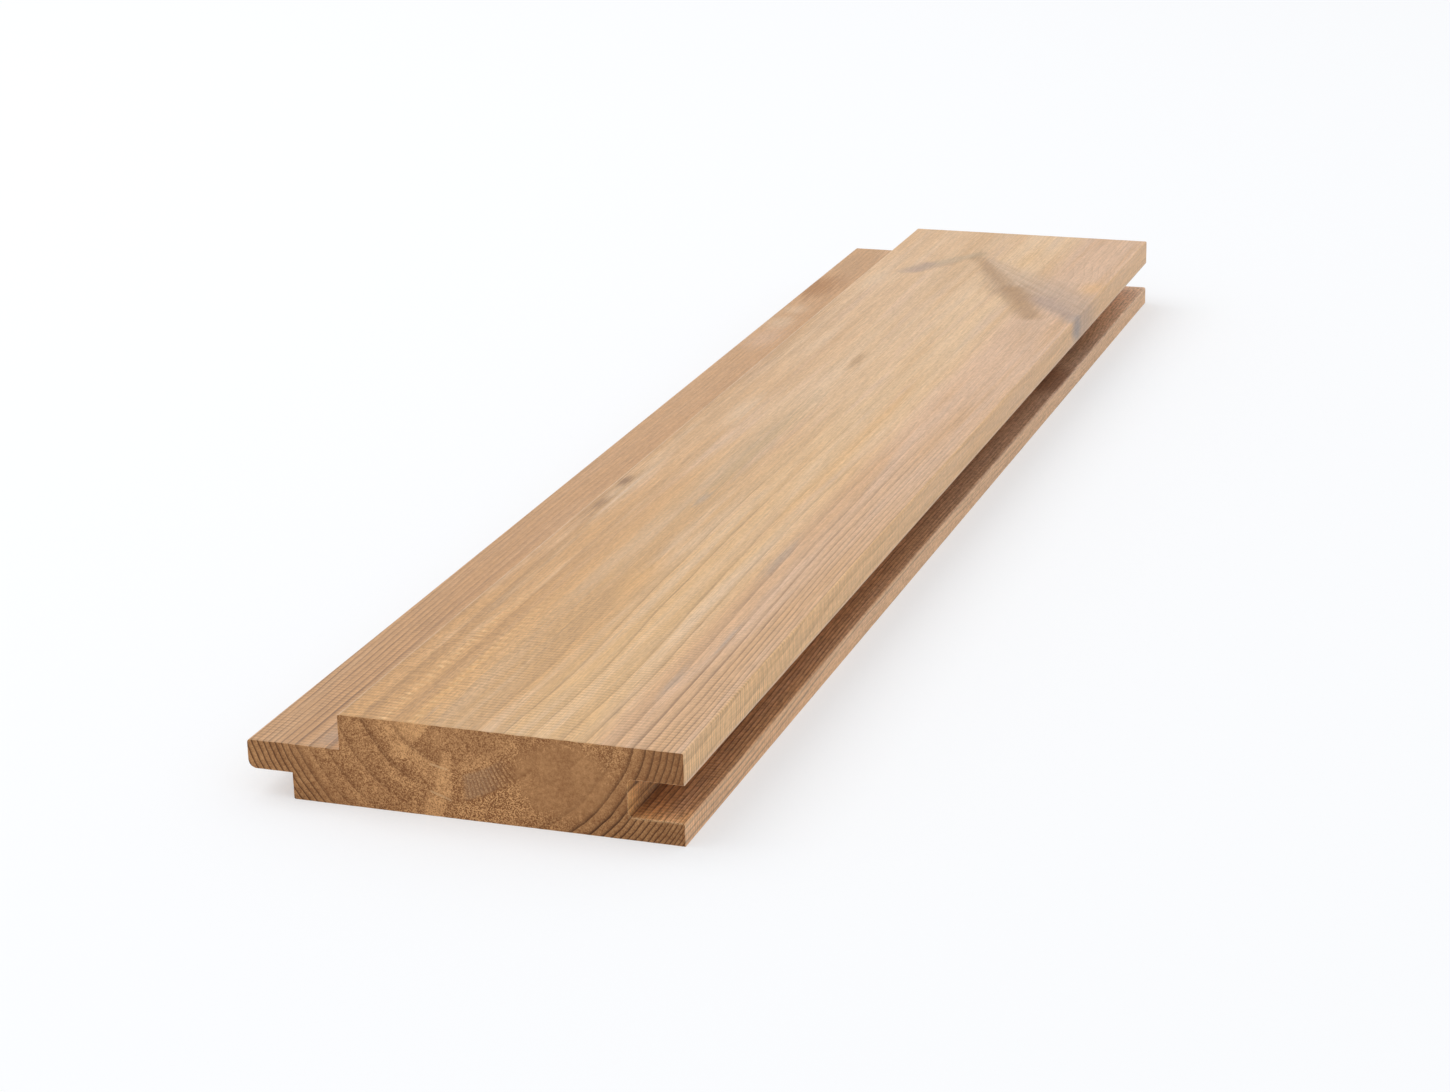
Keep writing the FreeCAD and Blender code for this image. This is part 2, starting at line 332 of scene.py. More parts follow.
class Graph:
    """Adds nodes to a material's tree; an input is a number, a tuple or another node's output."""

    def __init__(self, name):
        self.material = bpy.data.materials.new(name)
        self.material.use_nodes = True
        self.tree = self.material.node_tree
        self.tree.nodes.clear()

    def node(self, kind, **settings):
        made = self.tree.nodes.new(kind)
        for key, value in settings.items():
            setattr(made, key, value)
        return made

    def put(self, socket, value):
        if isinstance(value, bpy.types.NodeSocket):
            self.tree.links.new(value, socket)
        else:
            socket.default_value = value

    def math(self, operation, *values, clamp=False):
        made = self.node("ShaderNodeMath", operation=operation, use_clamp=clamp)
        for socket, value in zip(made.inputs, values):
            self.put(socket, value)
        return made.outputs[0]

    def add(self, *values):
        total = values[0]
        for value in values[1:]:
            total = self.math("ADD", total, value)
        return total

    def times(self, *values):
        total = values[0]
        for value in values[1:]:
            total = self.math("MULTIPLY", total, value)
        return total

    def less(self, first, second):
        return self.math("SUBTRACT", first, second)

    def most(self, first, second):
        return self.math("MAXIMUM", first, second)

    def without(self, value, share):
        """1 less a share of a value."""
        return self.less(1.0, self.times(value, share))

    def vector(self, operation, first, second=None):
        made = self.node("ShaderNodeVectorMath", operation=operation)
        self.put(made.inputs[0], first)
        if second is not None:
            self.put(made.inputs["Scale"] if operation == "SCALE" else made.inputs[1], second)
        one_number = operation in ("LENGTH", "DOT_PRODUCT")
        return made.outputs["Value" if one_number else "Vector"]

    def split(self, vector):
        made = self.node("ShaderNodeSeparateXYZ")
        self.put(made.inputs[0], vector)
        return made.outputs[0], made.outputs[1], made.outputs[2]

    def join(self, x, y, z):
        made = self.node("ShaderNodeCombineXYZ")
        for socket, value in zip(made.inputs, (x, y, z)):
            self.put(socket, value)
        return made.outputs[0]

    def ease(self, value, low, high, start=0.0, end=1.0):
        """Smooth step from start at low to end at high."""
        made = self.node("ShaderNodeMapRange", interpolation_type="SMOOTHSTEP")
        inputs = {"Value": value, "From Min": low, "From Max": high, "To Min": start, "To Max": end}
        for name, item in inputs.items():
            self.put(made.inputs[name], item)
        return made.outputs["Result"]

    def zone(self, *limits):
        """1 where every value is past its limit: each limit is a value, where it fades in and is full."""
        return self.times(*[self.ease(*limit) for limit in limits])

    def close_to(self, value, centre, start, full, strength=1.0):
        """Strength around one value: where it fades in and where it is full, as distances from it."""
        return self.ease(self.math("ABSOLUTE", self.add(value, -centre)), start, full, 0.0, strength)

    def wave(self, value, step, *shifts):
        """Waves at regular steps of a value, moved by other values."""
        return self.math("SINE", self.add(self.times(value, 2 * math.pi / step), *shifts))

    def noise(self, place, detail=2.0, roughness=0.5, output="Fac"):
        made = self.node("ShaderNodeTexNoise")
        self.put(made.inputs["Vector"], place)
        for name, value in (("Scale", 1.0), ("Detail", detail), ("Roughness", roughness)):
            made.inputs[name].default_value = value
        return made.outputs[output]

    def grain(self, place, kind, output="Fac"):
        """Noise drawn out along the grain."""
        scaled = self.vector("MULTIPLY", place, (1 / kind.across, 1 / kind.along, 1 / kind.across))
        shifted = self.vector("ADD", scaled, tuple(kind.shift * share for share in SHIFT_SHARES))
        return self.noise(shifted, kind.detail, kind.roughness, output)

    def mix(self, factor, first, second):
        made = self.node("ShaderNodeMix", data_type="RGBA")
        self.put(made.inputs["Factor"], factor)
        a, b = [socket for socket in made.inputs if socket.type == "RGBA"]
        self.put(a, first)
        self.put(b, second)
        return next(socket for socket in made.outputs if socket.type == "RGBA")

    def shade(self, colour, level):
        """Colour times a number."""
        return self.vector("SCALE", colour, level)

    def tint(self, factor, colour, shares):
        """Colour with each of its channels times its own share, where the factor is 1."""
        return self.mix(factor, colour, self.vector("MULTIPLY", colour, shares))

    def steps(self, value, places):
        """Counts up by one from each place to the next, with straight runs between them."""
        made = self.node("ShaderNodeFloatCurve")
        self.put(made.inputs["Value"], self.math("DIVIDE", value, RING_REACH))
        curve = made.mapping.curves[0]
        top = len(places) + 1
        inner = [(place / RING_REACH, (number + 1) / top) for number, place in enumerate(places)]
        wanted = [(0.0, 0.0)] + inner + [(1.0, 1.0)]
        while len(curve.points) < len(wanted):
            curve.points.new(0.5, 0.5)
        for point, corner in zip(curve.points, wanted):
            point.location = corner
            point.handle_type = "VECTOR"
        made.mapping.update()
        return self.times(made.outputs[0], float(top))

    def finish(self, colour, roughness, height, depth, specular):
        shader = self.node("ShaderNodeBsdfPrincipled")
        self.put(shader.inputs["Base Color"], colour)
        self.put(shader.inputs["Roughness"], roughness)
        shader.inputs["Specular IOR Level"].default_value = specular
        bump = self.node("ShaderNodeBump")
        bump.inputs["Distance"].default_value = depth
        self.put(bump.inputs["Height"], height)
        self.put(shader.inputs["Normal"], bump.outputs["Normal"])
        output = self.node("ShaderNodeOutputMaterial")
        self.put(output.inputs["Surface"], shader.outputs[0])
        return self.material


# Wood

def from_axis(graph, place, start, end):
    """How far along a line a place lies, from 0 to 1, and its offset from the line."""
    axis = Vector(end) - Vector(start)
    offset = graph.vector("SUBTRACT", place, start)
    reached = graph.vector("DOT_PRODUCT", offset, axis.normalized())
    along = graph.math("DIVIDE", reached, axis.length, clamp=True)
    return along, graph.vector("SUBTRACT", offset, graph.vector("SCALE", axis, along))


def line_distance(graph, place, start, end):
    """Distance of a place from a line between two points."""
    return graph.vector("LENGTH", from_axis(graph, place, start, end)[1])


def branch_distance(graph, place, branch):
    """Distance from a branch's axis and how much of it is towards the near end, in half-thicknesses,
    and how far along the axis the place lies."""
    along, offset = from_axis(graph, place, branch.start, branch.end)
    widening = graph.ease(along, 0.0, BRANCH_WIDEST, branch.thin, branch.thick)
    thickness = graph.less(widening, graph.ease(along, BRANCH_WIDEST, 1.0, 0.0, branch.thick - branch.blunt))
    axis = Vector(branch.end) - Vector(branch.start)
    towards = Vector((axis.y, -axis.x, 0)).normalized()
    if towards.y > 0:
        towards = -towards
    distance = graph.math("DIVIDE", graph.vector("LENGTH", offset), thickness)
    near = graph.math("DIVIDE", graph.vector("DOT_PRODUCT", offset, towards), thickness)
    return distance, near, along


def growth_rings(graph):
    """Places and ring values that both wood materials share."""
    coordinates = graph.node("ShaderNodeTexCoord")
    place = graph.vector("SCALE", coordinates.outputs["Object"], 1 / MM)
    flow = place
    for kind, reach in WANDERING:
        shift = graph.vector("SUBTRACT", graph.grain(place, kind, "Color"), (NOISE_MIDDLE,) * 3)
        flow = graph.vector("ADD", flow, graph.vector("MULTIPLY", shift, (reach, 0.0, reach)))
    x, y, z = graph.split(flow)

    # distance from the pith, which sways, with a bend in the lines near the front
    turn = graph.times(graph.add(y, SWAY_START), 2 * math.pi / SWAY_LENGTH)
    sway = graph.times(graph.math("COSINE", turn), SWAY_REACH)
    bend = graph.add(graph.ease(y, -215.0, -178.0, -0.8, 0.7), graph.ease(y, -178.0, -140.0, 0.0, -0.7))
    bend = graph.times(bend, graph.ease(x, 38.0, 12.0), graph.ease(x, -6.0, 6.0))
    across = graph.less(graph.less(graph.add(x, PITH_SHIFT - PITH_X), sway), bend)
    above = graph.times(graph.add(z, -PITH_Z), graph.ease(across, 0.0, OVAL_REACH, 1.0, OVAL))
    radius = graph.vector("LENGTH", graph.join(across, 0.0, above))
    facing = graph.math("DIVIDE", across, radius)
    branches = {}
    for name, branch in BRANCHES.items():
        branches[name] = branch_distance(graph, flow, branch)
        push = graph.ease(branches[name][0], BEND_START, BEND_FULL, 0.0, branch.push)
        radius = graph.less(radius, push)

    # number of years, and how far through its year each place grew
    groove_side = graph.ease(facing, 0.05, 0.5)
    left = graph.steps(radius, TONGUE_SIDE_RINGS)
    right = graph.steps(radius, GROOVE_SIDE_RINGS)
    count = graph.add(left, graph.times(graph.less(right, left), groove_side))
    fray = graph.add(graph.grain(place, RING_EDGES), -NOISE_MIDDLE)
    phase = graph.math("FRACT", graph.add(count, graph.times(fray, RING_FRAYING)))
    share = graph.ease(radius, 18.0, 46.0, 0.18, 0.50)
    late = graph.ease(phase, graph.less(1.0, share), DARKEST)
    edge = graph.ease(phase, DARKEST, 1.0, 1.0, 0.0)
    return SimpleNamespace(
        place=place, axes=dict(zip("XYZ", graph.split(place))), flow=flow, x=x, y=y, z=z,
        radius=radius, facing=facing, phase=phase, branches=branches,
        latewood=graph.times(graph.math("POWER", late, LATEWOOD_POWER), edge),
        line=graph.times(graph.math("POWER", late, LINE_POWER), edge))


def surface(graph, wood, name):
    """A part of the board's surface, from 0 outside it to 1 inside."""
    return graph.zone(*[(wood.axes[axis], start, full) for axis, start, full in SURFACES[name]])


def broad_colour(graph, wood, parts):
    """Colours across the board, paler towards the far end as painted light and sheen, with long soft patches.
    """
    x, y = wood.x, wood.y
    colour = graph.mix(graph.ease(x, -13.0, -5.0), AMBER, TAN)
    colour = graph.mix(graph.ease(x, 5.0, 13.0), colour, GOLD)
    colour = graph.mix(graph.ease(x, 26.0, 32.0), colour, ROSE)
    colour = graph.mix(parts.tongue, colour, RUSSET)
    # the lips' side faces are paler, partly painted light on them
    colour = graph.mix(parts.upper_lip, colour, EDGE_GOLD)
    colour = graph.mix(parts.lower_lip, colour, EDGE_TAN)
    pale = graph.mix(graph.ease(x, 22.0, 32.0), PALE, BLUSH)
    patches = graph.grain(wood.place, PATCHES)
    blushes = graph.ease(graph.grain(wood.place, BLUSHES), 0.5, 0.72, 0.0, 0.4)
    layers = [
        # painted light and sheen: the face pales towards the far end
        (graph.ease(y, -210.0, 130.0, 0.0, 0.58), pale),
        (graph.ease(patches, 0.48, 0.72, 0.0, 0.5), pale),
        (graph.ease(patches, 0.5, 0.25, 0.0, 0.4), AMBER),
        (graph.times(blushes, graph.ease(y, -160.0, 0.0, 0.15, 1.0)), BLUSH),
    ]
    for layer, tint in layers:
        colour = graph.mix(graph.times(layer, parts.face), colour, tint)
    return colour


def ring_lines(graph, wood, parts, colour):
    """Each ring darkens gently towards its latewood, which ends in a thin dark line."""
    x, y = wood.x, wood.y
    faded = graph.ease(y, -150.0, 60.0, 1.0, 0.15)
    yearly = graph.times(graph.ease(wood.phase, 0.0, 0.95, 0.04, -0.06), graph.add(faded, 0.2))
    colour = graph.shade(colour, graph.add(yearly, 1.0))
    stripes = graph.ease(graph.grain(wood.place, STRIPES), 0.3, 0.7, -0.035, 0.035)
    stripes = graph.times(stripes, graph.ease(y, -90.0, 20.0), parts.face)
    colour = graph.shade(colour, graph.add(stripes, 1.0))

    # strong lines on the right half, on the tongue and low down, faint ones near the pith and far away
    contrast = graph.add(graph.ease(x, -6.0, 11.0, 0.08, 0.28), graph.ease(x, 34.5, 37.0, 0.0, 0.26))
    on_tongue = graph.times(parts.tongue, graph.ease(y, -190.0, -100.0, 0.72, 0.15))
    low_down = graph.ease(wood.axes["Z"], 2.0, 0.3, 0.0, 0.2)
    contrast = graph.add(graph.most(contrast, on_tongue), low_down)
    contrast = graph.times(contrast, graph.ease(wood.radius, 10.5, 13.0, 0.25, 1.0), faded,
                           graph.without(parts.upper_lip, 0.7))
    broken = graph.ease(graph.grain(wood.place, LINE_BREAKS), 0.28, 0.62, 0.35, 1.15)
    drawn = graph.add(graph.times(wood.latewood, 0.6), graph.times(wood.line, 0.5))
    colour = graph.mix(graph.times(drawn, contrast, broken), colour, UMBER)

    # crisp lines in the groove and on the lower lip, whose near end is warmer
    crisp = graph.times(graph.add(parts.lower_lip, parts.groove), graph.ease(y, -140.0, 110.0, 1.0, 0.3))
    colour = graph.mix(graph.times(wood.line, crisp, broken), colour, UMBER)
    near_lip = graph.times(parts.lower_lip, graph.ease(y, -60.0, -200.0))
    colour = graph.tint(near_lip, colour, NEAR_LIP_TINT)
    lip_lines = graph.times(wood.latewood, parts.lower_lip, graph.ease(y, -120.0, -190.0, 0.0, 0.25))
    colour = graph.mix(lip_lines, colour, UMBER)
    # the lower lip's side is paler still, partly painted light on it
    return graph.mix(graph.times(parts.lower_lip, 0.35), colour, PALE)


def with_branches(graph, wood, colour):
    """Greyer streaky wood inside each branch, and a brown border on its near side."""
    for name, branch in BRANCHES.items():
        distance, near, along = wood.branches[name]
        distance = graph.add(distance, graph.times(wood.frayed, 0.3))
        inside = graph.ease(distance, 1.3, 0.8, 0.0, branch.strength)
        inside = graph.times(inside, graph.ease(near, -1.0, 0.2))
        lines = graph.noise(graph.join(graph.times(near, 7.0), graph.times(along, 2.5), 0.0), detail=3.0)
        layers = [
            (0.85, KNOT),
            (graph.ease(lines, 0.4, 0.75, 0.0, 0.45), DUSK),
            (graph.ease(lines, 0.55, 0.3, 0.0, 0.3), PALE),
            (graph.ease(along, 0.35, 0.8, 0.0, 0.4), MAUVE),
        ]
        for layer, tint in layers:
            colour = graph.mix(graph.times(inside, layer), colour, tint)
        border = graph.close_to(distance, 0.95, 0.6, 0.1, branch.strength)
        border = graph.times(border, graph.ease(near, 0.2, 0.8), graph.ease(along, 0.9, 0.6), 0.45)
        colour = graph.mix(border, colour, DUSK)
    return colour


def with_streaks(graph, wood, colour):
    """Colour with the bands, stains and strokes laid over it, their edges broken up along the grain."""
    layers = []
    for centre, halves, tint, strength in STREAKS:
        offset = graph.vector("SUBTRACT", wood.flow, centre)
        scaled = graph.vector("MULTIPLY", offset, tuple(1 / half for half in halves))
        layers.append((graph.add(graph.vector("LENGTH", scaled), wood.frayed), tint, strength))
    for start, end, half_width, tint, strength in STROKES:
        distance = graph.math("DIVIDE", line_distance(graph, wood.flow, start, end), half_width)
        layers.append((graph.add(distance, graph.times(wood.frayed, 0.6)), tint, strength))
    for distance, tint, strength in layers:
        colour = graph.mix(graph.ease(distance, STREAK_START, STREAK_FULL, 0.0, strength), colour, tint)
    return colour


def with_dashes(graph, wood, colour):
    """Straw-coloured dashes in rows on the near half, where the planer lifted the grain."""
    wobble = graph.times(graph.grain(wood.place, DASH_WOBBLE), 7.0)
    beat = graph.wave(wood.y, DASH_STEP, wobble)
    dashes = graph.zone((beat, 0.0, 0.6), (wood.y, -115.0, -165.0), (wood.z, 15.0, 18.0))
    dashes = graph.times(dashes, graph.ease(graph.grain(wood.place, DASH_GAPS), 0.35, 0.6, 0.2, 1.0))
    for row, strength in DASH_ROWS:
        line = graph.close_to(wood.x, row, 1.7, 0.2)
        colour = graph.mix(graph.times(line, dashes, strength), colour, STRAW)
    return colour


def planer_marks(graph, wood, parts):
    """Marks across the grain, strongest near the front, and the lightness of the fibres with them."""
    y = wood.y
    wobble = graph.grain(wood.place, MARK_WOBBLE)
    strength = graph.add(graph.ease(y, -110.0, -195.0, 0.15, 1.0), graph.times(parts.upper_lip, 0.25))
    patches = graph.ease(graph.grain(wood.place, MARK_PATCHES), 0.3, 0.65)
    marks = graph.times(graph.wave(y, MARK_STEP, graph.times(wobble, 9.0)), strength, patches)

    torn = graph.zone((wood.x, 6.0, -8.0), (y, -120.0, -175.0), (wood.z, 18.5, 19.5))
    strands = graph.times(graph.ease(wood.fibre, 0.25, 0.75, -0.14, 0.12), graph.without(torn, 0.5))
    rough = graph.add(graph.times(parts.groove, 2.0), graph.times(parts.lower_lip, 0.8),
                      graph.times(torn, 0.7), 1.0)
    mottle = graph.ease(graph.grain(wood.place, MOTTLE), 0.3, 0.7, -0.06, 0.06)
    uneven = graph.add(graph.ease(wood.hairs, 0.3, 0.7, -0.07, 0.07), mottle)
    jitter = graph.grain(wood.place, BAR_JITTER)
    bars = graph.wave(y, BAR_STEP, graph.times(wobble, 8.0), graph.times(jitter, 6.0))
    lip_bars = graph.times(parts.upper_lip, graph.ease(y, -40.0, -170.0, 0.25, 1.0), 0.065)
    bars = graph.times(bars, graph.add(graph.times(torn, 0.035), lip_bars))
    return marks, graph.add(strands, graph.times(marks, 0.12), 1.0, graph.times(uneven, rough), bars)


def long_grain():
    """Planed faces and edges: light bands, thin dark latewood lines, fine fibres and planer marks."""
    graph = Graph("pine_long_grain")
    wood = growth_rings(graph)
    wood.fibre = graph.grain(wood.place, FIBRE)
    wood.hairs = graph.grain(wood.place, HAIRS)
    wood.frayed = graph.times(graph.add(wood.fibre, -NOISE_MIDDLE), 1.6)
    names = ("tongue", "lower_lip", "upper_lip", "groove")
    parts = SimpleNamespace(**{name: surface(graph, wood, name) for name in names})
    edges = graph.add(parts.tongue, graph.times(parts.upper_lip, 0.6), parts.lower_lip)
    parts.face = graph.without(edges, 0.75)

    colour = broad_colour(graph, wood, parts)
    colour = ring_lines(graph, wood, parts, colour)
    colour = with_branches(graph, wood, colour)
    colour = with_streaks(graph, wood, colour)
    colour = with_dashes(graph, wood, colour)
    marks, level = planer_marks(graph, wood, parts)
    colour = graph.shade(colour, level)

    # painted highlight along the arrises, broken up by the lifted fibres there, which are also paler
    arrises = graph.most(surface(graph, wood, "shoulder_arris"), surface(graph, wood, "lip_arris"))
    lifted = graph.times(arrises, graph.ease(wood.hairs, 0.3, 0.6, 0.2, 0.8))
    colour = graph.mix(lifted, colour, PALE)

    # painted shade darkens the groove, whose rough cut wood is also browner, most of all along the back of
    # its floor and before the knot; painted light brightens it near the front end
    colour = graph.tint(parts.groove, colour, GROOVE_TINT)
    for name, tint in GROOVE_TINTS.items():
        colour = graph.tint(graph.times(parts.groove, surface(graph, wood, name)), colour, tint)

    height = graph.add(graph.times(wood.latewood, 0.4), graph.times(wood.fibre, 0.6), graph.times(marks, 0.2))
    roughness = graph.ease(wood.fibre, 0.2, 0.8, *PLANED_ROUGHNESS)
    return graph.finish(colour, roughness, height, PLANED_RELIEF, PLANED_SPECULAR)


def cut_fibres(graph, wood):
    """Lightness of a sawn end: fine light flecks on brown, in patches, and light sectors of rings."""
    x, radius = wood.x, wood.radius
    coarse = graph.noise(graph.vector("SCALE", wood.place, COARSE_SCALE))
    offset = graph.vector("SUBTRACT", wood.flow, SMOOTH_CENTRE)
    scaled = graph.vector("MULTIPLY", offset, (1 / SMOOTH_WIDTH, 0, 1 / SMOOTH_HEIGHT))
    away = graph.add(graph.vector("LENGTH", scaled), graph.ease(wood.middling, 0.2, 0.8, -0.2, 0.2))
    smooth = graph.ease(away, 1.2, 0.8)
    low_band = graph.zone((radius, 23.2, 23.8), (radius, 31.0, 29.0), (x, -3.0, 0.0), (x, 18.0, 14.0))
    flecks = graph.times(
        graph.ease(wood.speckle, 0.30, 0.70, -0.50, 0.50),
        graph.without(smooth, 0.8),
        graph.ease(radius, 33.0, 40.0, 1.0, 0.5),
        graph.ease(radius, 15.0, 18.0, 0.7, 1.0),
        graph.add(graph.times(low_band, 0.7), 1.0),
        graph.ease(x, -20.0, -12.0, 0.8, 1.0))
    patches = graph.ease(wood.middling, 0.25, 0.75, 0.23, 0.47)
    tip = graph.zone((wood.facing, -0.6, -0.9), (radius, 43.0, 49.0))
    light = graph.add(flecks, patches, graph.ease(coarse, 0.3, 0.7, -0.08, 0.08),
                      graph.times(low_band, 0.06), graph.times(tip, 0.14))

    turned = graph.add(graph.times(wood.facing, -1.0), graph.times(wood.frayed, 0.10))
    for inner, outer, low, high, strength in SECTORS:
        near_side = math.sin(math.radians(low))
        far_side = math.sin(math.radians(high))
        sector = graph.zone(
            (wood.reach, inner - SECTOR_RIM, inner + SECTOR_RIM),
            (wood.reach, outer + SECTOR_RIM, outer - SECTOR_RIM),
            (turned, near_side - SECTOR_NEAR_SIDE, near_side + SECTOR_NEAR_SIDE),
            (turned, far_side + SECTOR_FAR_SIDE, far_side - SECTOR_FAR_SIDE))
        light = graph.add(light, graph.times(sector, strength))
    return light


def soft_bands(graph, wood, light):
    """Lightness with the rings as soft bands and arcs."""
    x, radius = wood.x, wood.radius
    wide_arc = graph.times(graph.close_to(radius, 18.4, 2.8, 0.9, 0.14), graph.ease(x, -1.0, -8.0))
    thin_arc = graph.times(graph.close_to(radius, 16.2, 1.3, 0.5, 0.07),
                           graph.ease(x, -3.0, 0.0), graph.ease(x, 15.0, 11.0))
    banded = graph.most(graph.ease(wood.facing, 0.0, -0.5), graph.ease(radius, 34.0, 38.0))
    bands = graph.times(graph.ease(wood.phase, 0.1, 1.0, 0.065, -0.10), banded)
    dark_rim = graph.times(graph.close_to(wood.reach, 23.5, 0.8, 0.2, 0.16),
                           graph.ease(x, -11.0, -8.0), graph.ease(x, 17.0, 13.0))
    return graph.less(graph.add(light, wide_arc, thin_arc, bands), dark_rim)


def sharp_rings(graph, wood, colour):
    """Dark lines of latewood, sharpest towards the groove and at the tongue, and thin pale lines."""
    x, z, radius = wood.x, wood.z, wood.radius
    outer = graph.times(graph.ease(wood.facing, -0.5, 0.8, 0.22, 0.54), graph.ease(z, 4.0, 7.0, 0.38, 1.0))
    colour = graph.mix(graph.times(graph.ease(radius, 37.0, 44.0), outer), colour, SAWN_DARK)
    for ring, half_width, low in INNER_RINGS:
        band = graph.close_to(radius, ring, half_width, 0.1, 0.16)
        band = graph.times(band, graph.ease(x, -4.0, -9.0), graph.ease(z, low - 3.0, low + 3.0, 0.3, 1.0))
        colour = graph.mix(band, colour, SAWN_LINE)
    tongue_side = graph.times(graph.ease(wood.facing, -0.25, -0.7),
                              graph.ease(radius, 37.0, 43.0, 0.15, 1.0))
    patchy = graph.most(graph.ease(wood.middling, 0.3, 0.5, 0.4, 1.0), graph.ease(z, 6.0, 5.0))
    groove_side = graph.times(
        graph.ease(radius, 34.0, 41.0, 0.15, 0.85),
        graph.ease(wood.facing, 0.1, 0.4),
        graph.ease(radius, 31.0, 33.0),
        patchy,
        graph.ease(z, 6.0, 5.0, 1.0, 1.3))
    ringed = graph.most(wood.line, graph.times(wood.latewood, graph.ease(radius, 38.0, 44.0)))
    colour = graph.mix(graph.times(ringed, graph.most(tongue_side, groove_side)), colour, SAWN_LINE)
    flat = graph.vector("MULTIPLY", wood.flow, (1, 0, 1))
    for start, end, half_width in PALE_LINES:
        distance = line_distance(graph, flat, start, end)
        colour = graph.mix(graph.ease(distance, half_width * 1.5, half_width * 0.5, 0.0, 0.5), colour, FUZZ)
    return colour


def end_grain():
    """Sawn ends: darker, speckled, with the rings as arcs, light sectors between them and split rays."""
    graph = Graph("pine_end_grain")
    wood = growth_rings(graph)
    wood.speckle = graph.noise(graph.vector("SCALE", wood.place, SPECKLE_SCALE), roughness=0.6)
    wood.middling = graph.noise(graph.vector("SCALE", wood.place, MIDDLING_SCALE))
    wood.frayed = graph.add(wood.speckle, -NOISE_MIDDLE)
    wood.reach = graph.add(wood.radius, graph.times(wood.frayed, 1.2))

    light = soft_bands(graph, wood, cut_fibres(graph, wood))
    colour = sharp_rings(graph, wood, graph.mix(light, SAWN_DARK, SAWN_LIGHT))

    # splits along the rays, as a comb in one patch of grey wood
    angle = graph.math("ARCSINE", wood.facing)
    comb = graph.zone((wood.reach, 17.2, 18.0), (wood.reach, 23.4, 22.6),
                      (angle, 0.02, 0.12), (angle, 0.70, 0.58))
    colour = graph.mix(graph.times(comb, graph.ease(wood.x, 11.0, 5.0, 0.05, 0.42)), colour, SAWN_GREY)
    rays = graph.wave(angle, RAY_STEP, graph.times(wood.frayed, 4.0))
    teeth = graph.times(graph.ease(rays, 0.0, 0.9), comb)
    colour = graph.mix(graph.times(teeth, graph.ease(wood.x, 3.0, 9.0, 0.4, 0.75)), colour, SAWN_DARK)

    # frayed fibres where the groove's cutter came out
    ledge = surface(graph, wood, "sawn_ledge")
    wall = graph.times(surface(graph, wood, "sawn_wall"), 0.5)
    fuzz = graph.times(graph.most(ledge, wall), graph.ease(wood.speckle, 0.35, 0.6, 0.0, 0.8))
    colour = graph.mix(fuzz, colour, FUZZ)
    height = graph.less(wood.speckle, graph.times(teeth, 0.3))
    return graph.finish(colour, SAWN_ROUGHNESS, height, SAWN_RELIEF, SAWN_SPECULAR)


# Board

def cad_outline():
    """Outline of the board's near end face, in order round it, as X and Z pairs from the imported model."""
    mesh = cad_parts[NODE].data
    points = np.empty(len(mesh.vertices) * 3)
    mesh.vertices.foreach_get("co", points)
    points = points.reshape(-1, 3)
    keys = [tuple(np.round(point[[0, 2]] / MM, OUTLINE_DIGITS)) for point in points]
    uses = {}
    for polygon in mesh.polygons:
        if all(abs(points[vertex][1] - LOW[1]) < END_TOLERANCE for vertex in polygon.vertices):
            corners = [keys[vertex] for vertex in polygon.vertices]
            for first, second in zip(corners, corners[1:] + corners[:1]):
                uses.setdefault(frozenset((first, second)), []).append((first, second))
    following = dict(pair[0] for pair in uses.values() if len(pair) == 1)
    start = min(following)
    loop = [start]
    while following[loop[-1]] != start:
        loop.append(following[loop[-1]])
    return np.array(loop) * MM


def with_full_lip(loop):
    """The outline with the lower lip brought out and its edges sharpened."""
    lip = (loop[:, 0] > LIP_ROOT) & (loop[:, 1] < LIP_LEVEL)
    front = loop[lip, 0].max()
    roundings = [(LOW[2], BOTTOM_ROUNDING, BOTTOM_KEPT), (loop[lip, 1].max(), TOP_ROUNDING, TOP_KEPT)]
    full = loop.copy()
    for level, size, kept in roundings:
        corner = np.array([front, level])
        rounded = lip & (np.abs(loop - corner).max(axis=1) < size + ROUNDING_MARGIN)
        full[rounded] = corner + (loop[rounded] - corner) * kept
    full[lip, 0] += LIP_REACH
    return full


def refined(loop):
    """The outline with more points on its long straight runs."""
    out = []
    for first, second in zip(loop, np.roll(loop, -1, axis=0)):
        parts = max(1, math.ceil(np.linalg.norm(second - first) / OUTLINE_STEP))
        out += [first + (second - first) * k / parts for k in range(parts)]
    return np.array(out)


def outward(loop):
    """Unit normals that point out of a closed outline."""
    ahead = np.roll(loop, -1, axis=0) - np.roll(loop, 1, axis=0)
    normal = np.stack([ahead[:, 1], -ahead[:, 0]], axis=1)
    return normal / np.linalg.norm(normal, axis=1, keepdims=True)


def broken_edge(random, count):
    """Uneven amounts broken off along an outline, small ones most often."""
    amount = random.random(count)
    amount = (amount + np.roll(amount, 1)) / 2
    return LEAST_BREAK + (MOST_BREAK - LEAST_BREAK) * amount ** 2


def section_rings(loop):
    """Outlines along the board as X, Y and Z, with the sawn edge broken at both ends."""
    random = np.random.default_rng(SEED)
    normal = outward(loop)
    span = HIGH[1] - LOW[1]
    middle = np.linspace(END_ROWS[-1], span - END_ROWS[-1], round(span / ROW_STEP))
    inner = END_ROWS[:-1] + list(middle) + [span - row for row in END_ROWS[-2::-1]]

    def ring(outline, along):
        return np.stack([outline[:, 0], LOW[1] + along, outline[:, 1]], axis=1)

    ends = []
    for base, way in ((0.0, 1.0), (span, -1.0)):
        rim = ring(loop - normal * broken_edge(random, len(loop))[:, None], np.full(len(loop), base))
        shoulder = ring(loop, base + way * broken_edge(random, len(loop)))
        ends.append([rim, shoulder])
    return ends[0] + [ring(loop, np.full(len(loop), row)) for row in inner] + ends[1][::-1]


